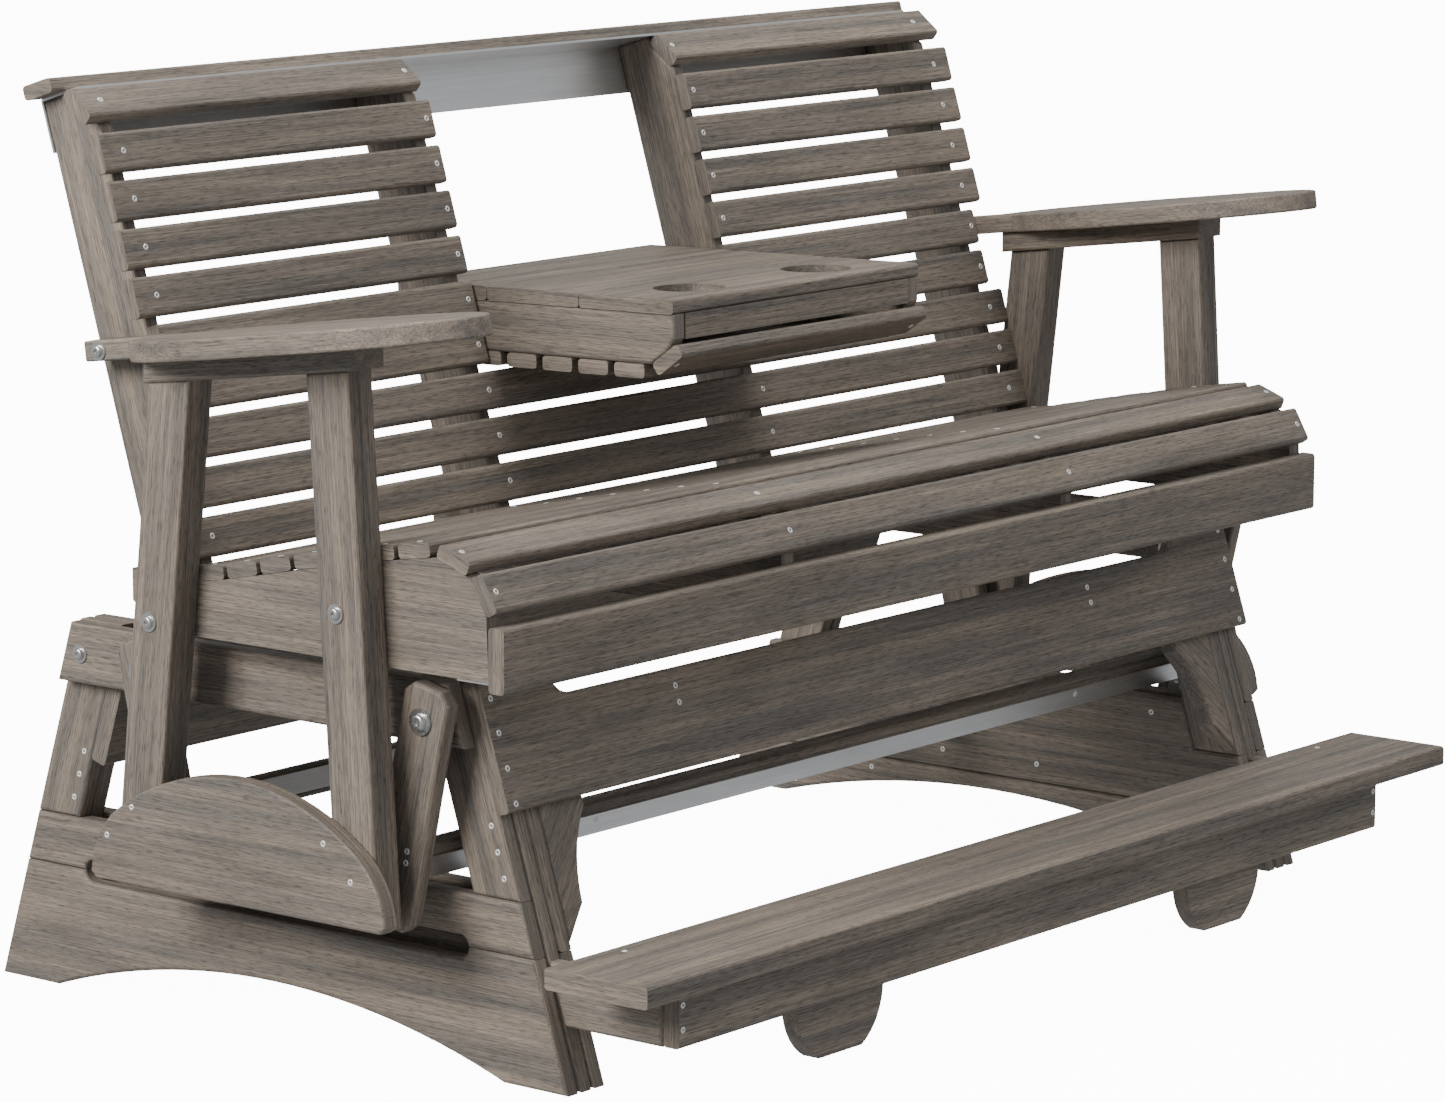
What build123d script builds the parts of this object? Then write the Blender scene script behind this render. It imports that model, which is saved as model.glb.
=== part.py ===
"""Glider swing of poly lumber: a two-seat bench that glides on four hanging arms inside a slatted
timber base with a footrest, and carries a fold-down console with two cup holes in its back.

Millimetres, +Z up, +X along the bench, the sitter faces -Y. The origin is on the floor, under the
middle of the whole object. Pieces are drawn for the +X side and mirrored to the other side.
"""
import os
from math import atan, cos, degrees, radians, sin, sqrt, tan

from build123d import *

# ---- stock ------------------------------------------------------------------------------------
BOARD = 23.5            # thickness of the frame boards
PLANK = 26.5            # thickness of the footrest plank
ARMREST_T = 25.0        # thickness of an armrest
SLAT_W = 48.5           # width of a slat
SLAT_T = 18.0           # thickness of a slat
EDGE = 5.0              # rounding of the long edges
SEAM = 0.6              # open line between two boards of one frame
SHEET = 3.0             # thickness of the aluminium

# ---- base -------------------------------------------------------------------------------------
BASE_HALF_X = 765.0     # outer face of the side frames
BASE_MID_Y = 96.0       # middle of the side frames
BASE_FOOT_HALF = 466.0  # half length of a side frame on the floor
BASE_SLOPE = 0.32       # how far the ends lean in for each unit of height
FOOT_LENGTH = 98.0      # flat foot at each end of the arched board
ARCH_RISE = 62.0
INNER_ARCH_RISE = 50.0
ARCH_BOARD_TOP = 153.6
SIDE_BOARD_TOP = 218.4
INNER_SEAM = 72.0
LEG_W = 72.0            # width of a leg, measured level
RAIL_BOTTOM = 394.5
RAIL_TOP = 469.5
RAIL_INSET = 7.0        # the top rail stops this far inside the legs' line
SLOT_H = 27.0           # long slot on the seam of the outer boards
SLOT_HALF = 315.0
SLOT_Z = 153.6
CROSS_BOARD_BOTTOM = 317.0
CROSS_BOARD_TOP = 469.0
NOTCH_HALF = 640.0      # lowered stretch of the front board's top edge
NOTCH_DEPTH = 38.0
NOTCH_R = 28.0
CROSS_T = 18.0          # thickness of the front board
GUSSET_BOTTOM = 163.0
GUSSET_TOP = 400.0
GUSSET_REACH = 79.0

# ---- footrest ---------------------------------------------------------------------------------
FOOTREST_OUT = 185.0    # front of the plank ahead of the side frames
FOOTREST_HALF_X = 841.7
FOOTREST_TOP = 174.8
FOOTREST_DEPTH = 151.4
FOOTREST_APRON_HALF = 736.5
FOOTREST_APRON_BOTTOM = 74.5
FOOTREST_APRON_BACK = 40.6# plank front to the apron's front face
FOOT_X = 406.5
FOOT_W = 165.0
FOOT_FLAT = 83.0

# ---- gliding linkage --------------------------------------------------------------------------
SWING_MID_Y = 27.0      # middle between the front and rear hanging arms
UPPER_HALF = 227.0      # half spacing of the upper pivots
LOWER_HALF = 178.0      # half spacing of the lower pivots
UPPER_Z = 428.0
LOWER_Z = 212.0
SWING_ARM_W = 68.0
SWING_ARM_TOP = 42.0    # wood above the upper pivot
SWING_ARM_FOOT = 36.0   # wood below the lower pivot
SWING_ARM_CHAMFER = 13.0
SWING_ARM_GAP = 8.0     # top rail to the arm's inner face
PIVOT_R = 6.0           # pivot bolt
RUNNING = 0.05          # radial running clearance on a pivot
OPEN_PIVOT = 1.5        # radial clearance of the rear lower pivots
BUSH_WALL = 3.0
STRETCHER_H = 40.0
STRETCHER_AHEAD = 13.0  # stretcher ahead of the middle of its arms
STRETCHER_UP = 52.0     # along the arm from the lower pivot to the stretcher's middle
STRETCHER_STRIP_H = 26.0

# ---- bench ------------------------------------------------------------------------------------
BENCH_HALF_X = 838.0    # outer face of the end rails, and end of every slat
RAIL_Z = 490.0          # underside of the seat rails
GAP_HALF = 254.6        # half width of the opening in the back
RECLINE = 16.87         # degrees from upright
HINGE_Y = 237.2         # console hinge
HINGE_Z = 781.8
FACE_TO_HINGE = 36.3    # slats' front face to the hinge, square to the back
SLAT_PITCH = 58.65
SLAT7_S = -19.65        # seventh slat's middle, along the back from the hinge
CUT_SLATS = 7           # slats interrupted by the console, from the top
BACK_SLATS = 10
TOP_SLAT_S = 340.4      # tilted top slat's middle
TOP_SLAT_F = 18.5
TOP_SLAT_TILT = 34.6
UPRIGHT_DEPTH = 84.5
UPRIGHT_TOP = 359.0
UPRIGHT_BOTTOM_Z = 497.0
CAP_FRONT_F = 59.0
ANGLE_LEG = 66.0
SEAT_SLATS = 7          # flat seat slats behind the two rounded-front ones
SEAT_PITCH = 55.3
SEAT_FIRST = 33.0       # from the rail's front break to the first flat slat's middle
SLAT_SEAT = 0.5         # a slat's underside stands this far off the curved rail
APRON_TOP = 554.4
APRON_BOTTOM = 478.4
RAIL_FRONT_Y = -319.4
RAIL_REAR_Y = 245.0

# ---- arm supports -----------------------------------------------------------------------------
POST_T = 42.0
POST_W = 66.0
POST_BOTTOM = 186.0
FRONT_POST_TOP_Y = -114.0
REAR_POST_TOP_Y = 138.0
ARM_SLOPE = 0.13        # the armrests rise towards the front
ARM_TOP_Z = 869.2       # height of an armrest's top at Y = 0
ARM_RAIL_W = 54.0
ARM_RAIL_T = 28.0
ARM_RAIL_FRONT = -157.0
ARM_RAIL_REAR = 180.0
TAB_REAR = 307.0
TAB_BOLT_Y = 276.0
TAB_W = 41.5
PANEL_MID_Y = 21.5
PANEL_HALF = 237.5
PANEL_BOTTOM = 193.0
PANEL_TOP = 344.0
PANEL_CROWN_R = 330.0
PANEL_CORNER_R = 110.0

# ---- console ----------------------------------------------------------------------------------
CONSOLE_CLEAR = 3.9     # to each side of the back's opening
CONSOLE_TILT = 1.06     # degrees its top rises towards the front when down
CONSOLE_DEPTH = 100.0   # slats' face to the top planks' face
CONSOLE_PLANK_W = 152.0
CONSOLE_FRONT_S = 345.5
CUP_R = 46.0
CUP_X = 129.0
CUP_S = 272.0
HINGE_PIN_R = 5.0

# ---- fasteners --------------------------------------------------------------------------------
BOLT_R = 4.0
BOLT_WASHER_R = 11.5
BOLT_HEAD_R = 7.5
PIVOT_WASHER_R = 16.0

# ---- worked out -------------------------------------------------------------------------------
OUTER_IN = BASE_HALF_X - BOARD              # inner face of the outer boards
LEG_IN = OUTER_IN - BOARD                   # inner face of the full-height legs
INNER_IN = LEG_IN - BOARD                   # inner face of the inner boards
RAIL_OUT = BASE_HALF_X + BOARD              # outer face of the top rail
ARM_IN = RAIL_OUT + SWING_ARM_GAP           # inner face of the hanging arms
ARM_OUT = ARM_IN + BOARD
UPRIGHT_OUT = BENCH_HALF_X - BOARD          # end uprights stand inside the end rails
POST_OUT = BENCH_HALF_X + POST_T
FOOTREST_FRONT = BASE_MID_Y - BASE_FOOT_HALF - FOOTREST_OUT
MIDDLE_Y = (FOOTREST_FRONT + BASE_MID_Y + BASE_FOOT_HALF) / 2     # moved to the origin
CAP_S = UPRIGHT_TOP + SHEET + 0.05                 # underside of the cap
UPRIGHT_REAR_F = SLAT_T + UPRIGHT_DEPTH
CONSOLE_HALF = GAP_HALF - CONSOLE_CLEAR
CONSOLE_REAR_S = CONSOLE_FRONT_S - 3 * CONSOLE_PLANK_W
ARM_PIN_GAP = BENCH_HALF_X - ARM_OUT        # hanging arm to the post

PIECES = {}


def keep(name, *solids):
    """Store the solids of one node."""
    PIECES[name] = list(solids)


def other_side(solid):
    return mirror(solid, Plane.YZ)


def yz_face(*points):
    return make_face(Polyline(*points, close=True))


def yz_board(x0, x1, face, edge=EDGE):
    """A board cut to a Y-Z outline, between two X places, with its outline edges rounded."""
    solid = extrude(Plane.YZ.offset(x0) * face, x1 - x0)
    if not edge:
        return solid
    ends = solid.faces().filter_by(Axis.X).sort_by(Axis.X)
    return fillet(ends[0].edges() + ends[-1].edges(), edge)


def bar(x0, x1, place, along, width=SLAT_W, thickness=SLAT_T):
    """A slat along X: its outer face's middle is at place, and along points across its width."""
    plane = Plane(origin=(x0, *place), x_dir=(0, *along), z_dir=(1, 0, 0))
    profile = Pos(0, -thickness / 2, 0) * RectangleRounded(width, thickness, EDGE)
    return extrude(plane * profile, x1 - x0)


def rod(x0, x1, y, z, radius):
    return extrude(Plane.YZ.offset(x0) * Pos(y, z) * Circle(radius), x1 - x0)


def tube(x0, x1, y, z, outer, inner):
    return rod(x0, x1, y, z, outer) - rod(x0, x1, y, z, inner)


def washer_bolt(x_face, x_end, y, z):
    """A button-head bolt with its washer, from outside in along X."""
    washer = rod(x_face, x_face + 2.0, y, z, BOLT_WASHER_R)
    head = rod(x_face + 2.0, x_face + 6.5, y, z, BOLT_HEAD_R)
    head = fillet(head.faces().sort_by(Axis.X)[-1].edges(), 3.0)
    socket = extrude(Plane.YZ.offset(x_face + 4.0) * Pos(y, z) * RegularPolygon(3.0, 6), 3.0)
    return (washer + head - socket) + rod(x_end, x_face, y, z, BOLT_R)


# ---- two drawing frames for the back and for the console ---------------------------------------
# s runs up the back from the hinge, f runs from the slats' front face to the rear. The console
# uses the same s and f, turned down to level about the hinge.
UP = (sin(radians(RECLINE)), cos(radians(RECLINE)))
DOWN = (-cos(radians(CONSOLE_TILT)), sin(radians(CONSOLE_TILT)))


def sf_point(along, s, f):
    normal = (-along[1], along[0])
    back = FACE_TO_HINGE - f
    return (HINGE_Y + s * along[0] + back * normal[0], HINGE_Z + s * along[1] + back * normal[1])


def sf_board(along, x0, x1, points, edge=EDGE):
    """A board whose outline is given in s and f."""
    return yz_board(x0, x1, yz_face(*[sf_point(along, s, f) for s, f in points]), edge)


def sf_slat(along, x0, x1, s, f=0.0, tilt=0.0):
    turn = radians(tilt)
    across = (along[0] * cos(turn) + along[1] * sin(turn), along[1] * cos(turn) - along[0] * sin(turn))
    return bar(x0, x1, sf_point(along, s, f), across)


def slat_s(number):
    return SLAT7_S + (CUT_SLATS - number) * SLAT_PITCH


def top_slat_inner(s):
    """f of the tilted top slat's rear face at height s along the back."""
    turn = radians(TOP_SLAT_TILT)
    return TOP_SLAT_F + (s - TOP_SLAT_S) * tan(turn) + SLAT_T / cos(turn)


# ---- base -------------------------------------------------------------------------------------
def base_end(z):
    """Half length of a side frame at height z."""
    return BASE_FOOT_HALF - BASE_SLOPE * z


def arch_face(top, rise):
    inner = BASE_FOOT_HALF - FOOT_LENGTH
    outline = [
        Line((-inner, 0), (-BASE_FOOT_HALF, 0)),
        Line((-BASE_FOOT_HALF, 0), (-base_end(top), top)),
        Line((-base_end(top), top), (base_end(top), top)),
        Line((base_end(top), top), (BASE_FOOT_HALF, 0)),
        Line((BASE_FOOT_HALF, 0), (inner, 0)),
        ThreePointArc((inner, 0), (0, rise), (-inner, 0)),
    ]
    return Pos(BASE_MID_Y, 0) * make_face(outline)


def side_face(bottom, top):
    points = [(-base_end(bottom), bottom), (-base_end(top), top), (base_end(top), top),
              (base_end(bottom), bottom)]
    return Pos(BASE_MID_Y, 0) * yz_face(*points)


def leg_face(side, bottom, top):
    """A leaning leg; side is -1 for the front and 1 for the rear."""
    outer0, outer1 = base_end(bottom), base_end(top)
    points = [(outer0, bottom), (outer1, top), (outer1 - LEG_W, top), (outer0 - LEG_W, bottom)]
    return Pos(BASE_MID_Y, 0) * yz_face(*[(side * y, z) for y, z in points])


def slot_face():
    return Pos(BASE_MID_Y, SLOT_Z) * SlotOverall(2 * SLOT_HALF, SLOT_H)


def pivot_places():
    """Upper and lower pivot of the front and the rear arm, as (name, side, upper y, lower y)."""
    return [("front", -1, SWING_MID_Y - UPPER_HALF, SWING_MID_Y - LOWER_HALF),
            ("rear", 1, SWING_MID_Y + UPPER_HALF, SWING_MID_Y + LOWER_HALF)]


def make_side_frames():
    arch = yz_board(OUTER_IN, BASE_HALF_X, arch_face(ARCH_BOARD_TOP, ARCH_RISE) - slot_face())
    side = yz_board(OUTER_IN, BASE_HALF_X,
                    side_face(ARCH_BOARD_TOP + SEAM, SIDE_BOARD_TOP) - slot_face())
    inner_arch = yz_board(INNER_IN, LEG_IN, arch_face(INNER_SEAM, INNER_ARCH_RISE))
    # the inner side board is stepped at the front, under and behind the short corner leg
    step = leg_face(-1, ARCH_BOARD_TOP, SIDE_BOARD_TOP + 20)
    inner_side = yz_board(INNER_IN, LEG_IN, side_face(INNER_SEAM + SEAM, SIDE_BOARD_TOP) - step)
    rail_end = base_end(RAIL_BOTTOM) - RAIL_INSET
    rail_top_end = base_end(RAIL_TOP) - RAIL_INSET
    rail_face = Pos(BASE_MID_Y, 0) * yz_face((-rail_end, RAIL_BOTTOM), (-rail_top_end, RAIL_TOP),
                                             (rail_top_end, RAIL_TOP), (rail_end, RAIL_BOTTOM))
    rail = yz_board(BASE_HALF_X, RAIL_OUT, rail_face)
    corner = leg_face(-1, ARCH_BOARD_TOP + SEAM, RAIL_TOP)
    legs = {"front_corner_leg": yz_board(INNER_IN, LEG_IN, corner)}
    for name, side_sign in (("front", -1), ("rear", 1)):
        short = leg_face(side_sign, SIDE_BOARD_TOP + SEAM, RAIL_TOP)
        legs[name + "_outer_leg"] = yz_board(OUTER_IN, BASE_HALF_X, short)
        legs[name + "_inner_leg"] = yz_board(LEG_IN, OUTER_IN, leg_face(side_sign, 0, RAIL_TOP))
    for _, _, upper_y, _ in pivot_places():
        hole = rod(INNER_IN, RAIL_OUT, upper_y, UPPER_Z, PIVOT_R + RUNNING)
        rail = rail - hole
        legs = {name: leg - hole for name, leg in legs.items()}
    boards = {"arch_board": arch, "side_board": side, "inner_arch_board": inner_arch,
              "inner_side_board": inner_side, "top_rail": rail, **legs}
    for name, board in boards.items():
        if name in ("arch_board", "side_board", "top_rail"):
            keep("base_" + name + "_right", board)
            keep("base_" + name + "_left", other_side(board))
        else:
            keep("base_" + name + "s", board, other_side(board))


def leaning_plane(side):
    """Plane on the legs' outer edges (x along the bench, y up the slope, z outwards), and its stretch."""
    out = (0, side, BASE_SLOPE)
    y0 = BASE_MID_Y + side * BASE_FOOT_HALF
    return Plane(origin=(0, y0, 0), x_dir=(-side, 0, 0), z_dir=out), sqrt(1 + BASE_SLOPE ** 2)


def make_cross_boards():
    """The front board lies on the legs' front edges, the rear board before the rear legs."""
    for name, side in (("front", -1), ("rear", 1)):
        plane, stretch = leaning_plane(side)
        bottom, top = CROSS_BOARD_BOTTOM * stretch, CROSS_BOARD_TOP * stretch
        outline = Pos(0, (bottom + top) / 2) * Rectangle(2 * BASE_HALF_X, top - bottom)
        if side < 0:
            notch = Pos(0, top) * RectangleRounded(2 * NOTCH_HALF, 2 * NOTCH_DEPTH, NOTCH_R)
            board = extrude(plane * (outline - notch), CROSS_T)
        else:
            board = extrude(plane.offset(-LEG_W / stretch) * outline, -BOARD)
        long_edges = board.edges().filter_by(Axis.X)
        keep("base_" + name + "_board", fillet(long_edges, EDGE))


def make_gussets():
    """Curved brackets between the front legs and the front board."""
    plane, stretch = leaning_plane(-1)
    wall = INNER_IN
    low, top = GUSSET_BOTTOM * stretch, GUSSET_TOP * stretch
    nose = (wall - 37.0, low + 40.0)
    waist = (wall - 49.0, low + 99.0)
    tip = wall - GUSSET_REACH
    shoulder = (tip, low + 150.0)
    outline = [
        Line((wall, low), nose),
        ThreePointArc(nose, waist, shoulder),
        Line(shoulder, (tip, top)),
        Line((tip, top), (wall, top)),
        Line((wall, top), (wall, low)),
    ]
    gusset = extrude(plane * make_face(outline), -BOARD)
    front = gusset.faces().sort_by(Axis(plane.origin, plane.z_dir))[-1]
    gusset = chamfer(front.edges(), 2.0)
    keep("base_gussets", gusset, other_side(gusset))


# ---- footrest ---------------------------------------------------------------------------------
def make_footrest():
    front = FOOTREST_FRONT
    under = FOOTREST_TOP - PLANK
    middle = (front + FOOTREST_DEPTH / 2, FOOTREST_TOP)
    keep("footrest_plank", bar(-FOOTREST_HALF_X, FOOTREST_HALF_X, middle, (1, 0),
                               FOOTREST_DEPTH, PLANK))
    apron_y = front + FOOTREST_APRON_BACK
    height = under - FOOTREST_APRON_BOTTOM
    apron_mid = (apron_y, FOOTREST_APRON_BOTTOM + height / 2)
    keep("footrest_apron", bar(-FOOTREST_APRON_HALF, FOOTREST_APRON_HALF, apron_mid, (0, 1),
                               height, BOARD))
    apron_rear = apron_y + BOARD
    leg0 = BASE_MID_Y - base_end(FOOTREST_APRON_BOTTOM)
    leg1 = BASE_MID_Y - base_end(under)
    arm = yz_board(LEG_IN, OUTER_IN, yz_face((apron_rear, FOOTREST_APRON_BOTTOM),
                                             (leg0, FOOTREST_APRON_BOTTOM), (leg1, under),
                                             (apron_rear, under)))
    keep("footrest_arms", arm, other_side(arm))
    half, flat, side_z = FOOT_W / 2, FOOT_FLAT / 2, 82.0
    knee = (half - 10.0, 30.0)
    outline = [
        Line((flat, 0), (-flat, 0)),
        ThreePointArc((-flat, 0), (-knee[0], knee[1]), (-half, side_z)),
        Line((-half, side_z), (-half, under)),
        Line((-half, under), (half, under)),
        Line((half, under), (half, side_z)),
        ThreePointArc((half, side_z), knee, (flat, 0)),
    ]
    plane = Plane(origin=(FOOT_X, apron_rear + BOARD, 0), x_dir=(1, 0, 0), z_dir=(0, -1, 0))
    foot = extrude(plane * make_face(outline), BOARD)
    keep("footrest_feet", foot, other_side(foot))


# ---- gliding linkage --------------------------------------------------------------------------
def arm_frame(side, upper_y, lower_y):
    """Plane on an arm: origin at the lower pivot, x towards the upper pivot, z along X."""
    length = sqrt((upper_y - lower_y) ** 2 + (UPPER_Z - LOWER_Z) ** 2)
    along = ((upper_y - lower_y) / length, (UPPER_Z - LOWER_Z) / length)
    return Plane(origin=(0, lower_y, LOWER_Z), x_dir=(0, *along), z_dir=(1, 0, 0)), length, along


def make_linkage():
    for name, side, upper_y, lower_y in pivot_places():
        plane, length, along = arm_frame(side, upper_y, lower_y)
        full = length + SWING_ARM_TOP + SWING_ARM_FOOT
        outline = Pos(full / 2 - SWING_ARM_FOOT, 0) * Rectangle(full, SWING_ARM_W)
        outline = chamfer(outline.vertices(), SWING_ARM_CHAMFER)
        arm = extrude(plane.offset(ARM_IN) * outline, BOARD)
        faces = arm.faces().filter_by(Axis.X).sort_by(Axis.X)
        arm = fillet(faces[0].edges() + faces[-1].edges(), EDGE)
        lower_clear = RUNNING if side < 0 else OPEN_PIVOT
        bush_r = PIVOT_R + OPEN_PIVOT + BUSH_WALL
        bushes = []
        for y, z, clear in ((upper_y, UPPER_Z, RUNNING), (lower_y, LOWER_Z, lower_clear)):
            arm = arm - rod(ARM_IN, ARM_OUT, y, z, bush_r)
            bushes.append(tube(ARM_IN, ARM_OUT, y, z, bush_r, PIVOT_R + clear))
        keep(name + "_swing_arm_right", arm)
        keep(name + "_swing_arm_left", other_side(arm))
        keep(name + "_arm_bushes", *bushes, *[other_side(b) for b in bushes])
        stretcher_parts(name, plane)


def stretcher_parts(name, plane):
    """The board and aluminium strip that tie a left and a right hanging arm together."""
    board_face = Pos(STRETCHER_UP, STRETCHER_AHEAD) * RectangleRounded(STRETCHER_H, BOARD, EDGE)
    flat = plane.offset(-ARM_IN)
    keep(name + "_stretcher", extrude(flat * board_face, 2 * ARM_IN))
    strip_y = STRETCHER_AHEAD + BOARD / 2 + SHEET / 2
    low = STRETCHER_UP - STRETCHER_H / 2 + STRETCHER_STRIP_H / 2
    strip_up = low if name == "front" else STRETCHER_UP
    strip_face = Pos(strip_up, strip_y) * Rectangle(STRETCHER_STRIP_H, SHEET)
    keep(name + "_stretcher_strip", extrude(flat * strip_face, 2 * ARM_IN))


def make_pivots():
    upper, lower, spacers = [], [], []
    for name, side, upper_y, lower_y in pivot_places():
        inner = INNER_IN if side < 0 else BASE_HALF_X
        nut = rod(inner - 8.0, inner, upper_y, UPPER_Z, 9.5)
        shaft = rod(inner, ARM_OUT, upper_y, UPPER_Z, PIVOT_R)
        washer = rod(ARM_OUT + 0.3, ARM_OUT + 2.8, upper_y, UPPER_Z, PIVOT_WASHER_R)
        head = rod(ARM_OUT + 2.8, ARM_OUT + 9.0, upper_y, UPPER_Z, 10.0)
        head = fillet(head.faces().sort_by(Axis.X)[-1].edges(), 4.0)
        neck = rod(ARM_OUT, ARM_OUT + 0.5, upper_y, UPPER_Z, PIVOT_R)
        socket = extrude(Plane.YZ.offset(ARM_OUT + 5.5) * Pos(upper_y, UPPER_Z)
                         * RegularPolygon(4.0, 6), 4.0)
        upper.append(nut + shaft + neck + washer + head - socket)
        spacers.append(tube(RAIL_OUT, ARM_IN - 0.3, upper_y, UPPER_Z, 12.0, PIVOT_R + RUNNING))
        pin = rod(ARM_IN - 3.0, POST_OUT, lower_y, LOWER_Z, PIVOT_R)
        nut = rod(ARM_IN - 9.5, ARM_IN - 2.5, lower_y, LOWER_Z, 9.5)
        washer = rod(ARM_IN - 2.5, ARM_IN - 0.4, lower_y, LOWER_Z, 14.0)
        lower.append(pin + nut + washer)
        spacers_gap = ARM_PIN_GAP - 0.3
        lower.append(tube(ARM_OUT + 0.3, ARM_OUT + 0.3 + spacers_gap, lower_y, LOWER_Z, 12.0,
                          PIVOT_R + RUNNING))
    keep("upper_pivot_bolts", *upper, *[other_side(b) for b in upper])
    keep("upper_pivot_spacers", *spacers, *[other_side(b) for b in spacers])
    keep("lower_pivot_bolts", *lower[0::2], *[other_side(b) for b in lower[0::2]])
    keep("lower_pivot_spacers", *lower[1::2], *[other_side(b) for b in lower[1::2]])


# ---- seat -------------------------------------------------------------------------------------
SEAT_CURVE = [(RAIL_REAR_Y, 561.0), (134.0, 557.0), (31.0, 576.0), (-110.0, 604.0),
              (-242.0, 626.0)]
NOSE = [(-242.0, 626.0), (-286.4, 609.3), (-294.5, 605.2), (-317.0, 565.7)]


def rail_face():
    top = Spline(*SEAT_CURVE)
    rest = Polyline(NOSE[0], *NOSE[1:], (RAIL_FRONT_Y, 500.0), (RAIL_FRONT_Y, RAIL_Z),
                    (200.0, RAIL_Z), (RAIL_REAR_Y, 522.0), SEAT_CURVE[0])
    return make_face([top, rest])


def make_seat():
    end = yz_board(UPRIGHT_OUT, BENCH_HALF_X, rail_face(), 0)
    keep("seat_end_rails", end, other_side(end))
    mid = yz_board(GAP_HALF + BOARD, GAP_HALF + 2 * BOARD, rail_face(), 0)
    keep("seat_mid_rails", mid, other_side(mid))
    height = APRON_TOP - APRON_BOTTOM
    place = (RAIL_FRONT_Y - BOARD, APRON_BOTTOM + height / 2)
    keep("seat_apron", bar(-BENCH_HALF_X, BENCH_HALF_X, place, (0, 1), height, BOARD))
    curve = Spline(*SEAT_CURVE)
    slats = []
    for i in range(SEAT_SLATS):
        at = 1 - (SEAT_FIRST + i * SEAT_PITCH) / curve.length
        point, along = curve @ at, curve % at
        along = (-along.X, -along.Y)
        lift = SLAT_T + SLAT_SEAT
        place = (point.X - along[1] * lift, point.Y + along[0] * lift)
        slats.append(bar(-BENCH_HALF_X, BENCH_HALF_X, place, along))
    keep("seat_slats", *slats)
    for name, p0, p1 in (("seat_front_slat", NOSE[1], NOSE[0]), ("seat_nose_slat", NOSE[3], NOSE[2])):
        length = sqrt((p1[0] - p0[0]) ** 2 + (p1[1] - p0[1]) ** 2)
        along = ((p1[0] - p0[0]) / length, (p1[1] - p0[1]) / length)
        mid_y, mid_z = (p0[0] + p1[0]) / 2, (p0[1] + p1[1]) / 2
        place = (mid_y - along[1] * SLAT_T, mid_z + along[0] * SLAT_T)
        keep(name, bar(-BENCH_HALF_X, BENCH_HALF_X, place, along))
    strip = Pos(0, RAIL_FRONT_Y + 26.0, RAIL_Z - SHEET / 2) * Box(2 * BENCH_HALF_X - 8, 50.0, SHEET)
    keep("seat_front_strip", strip)


# ---- back -------------------------------------------------------------------------------------
def upright_face(along, front_f, rear_f, top_s):
    """Outline of an upright in s and f: square bottom, top front corner cut for the tilted slat."""
    start = TOP_SLAT_S + (front_f - TOP_SLAT_F - SLAT_T / cos(radians(TOP_SLAT_TILT))) \
        / tan(radians(TOP_SLAT_TILT))
    low_front = s_at_height(UPRIGHT_BOTTOM_Z, front_f)
    low_rear = s_at_height(UPRIGHT_BOTTOM_Z, rear_f)
    return [(low_front, front_f), (start, front_f), (top_s, top_slat_inner(top_s)),
            (top_s, rear_f), (low_rear, rear_f)]


def s_at_height(z, f):
    """Place along the back, at depth f, that lies at height z."""
    return (z - HINGE_Z - (FACE_TO_HINGE - f) * UP[0]) / UP[1]


def make_back():
    profile = upright_face(UP, SLAT_T, UPRIGHT_REAR_F, UPRIGHT_TOP)
    end = sf_board(UP, UPRIGHT_OUT - BOARD, UPRIGHT_OUT, profile)
    keep("back_end_uprights", end, other_side(end))
    mid = sf_board(UP, GAP_HALF, GAP_HALF + BOARD, profile)
    hole = rod(GAP_HALF - 1, GAP_HALF + BOARD + 1, HINGE_Y, HINGE_Z, HINGE_PIN_R)
    mid = mid - hole
    keep("back_mid_uprights", mid, other_side(mid))
    # the sixth and seventh slats stop at the upright, because the armrest's tab passes their ends
    ends = [BENCH_HALF_X] * CUT_SLATS
    ends[5] = ends[6] = UPRIGHT_OUT - 1.0
    halves = [sf_slat(UP, GAP_HALF, ends[0], TOP_SLAT_S, TOP_SLAT_F, TOP_SLAT_TILT)]
    halves += [sf_slat(UP, GAP_HALF, ends[n - 1], slat_s(n)) for n in range(2, CUT_SLATS + 1)]
    keep("back_slats_right", *halves)
    keep("back_slats_left", *[other_side(s) for s in halves])
    full = [sf_slat(UP, -BENCH_HALF_X, BENCH_HALF_X, slat_s(n))
            for n in range(CUT_SLATS + 1, BACK_SLATS + 1)]
    keep("back_slats_lower", *full)
    cap_place = sf_point(UP, CAP_S + SLAT_T, CAP_FRONT_F + SLAT_W / 2)
    keep("back_cap", bar(-BENCH_HALF_X, BENCH_HALF_X, cap_place, (UP[1], -UP[0])))
    rear = UPRIGHT_REAR_F + SHEET
    top = UPRIGHT_TOP + SHEET
    angle = [(UPRIGHT_TOP, rear - ANGLE_LEG), (top, rear - ANGLE_LEG), (top, rear),
             (top - ANGLE_LEG, rear), (top - ANGLE_LEG, UPRIGHT_REAR_F),
             (UPRIGHT_TOP, UPRIGHT_REAR_F)]
    keep("back_angle", sf_board(UP, -UPRIGHT_OUT, UPRIGHT_OUT, angle, 0))


# ---- arm supports -----------------------------------------------------------------------------
def arm_under(y):
    """Height of the armrest's underside at y."""
    return ARM_TOP_Z - ARM_SLOPE * y - ARMREST_T * sqrt(1 + ARM_SLOPE ** 2)


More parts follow.
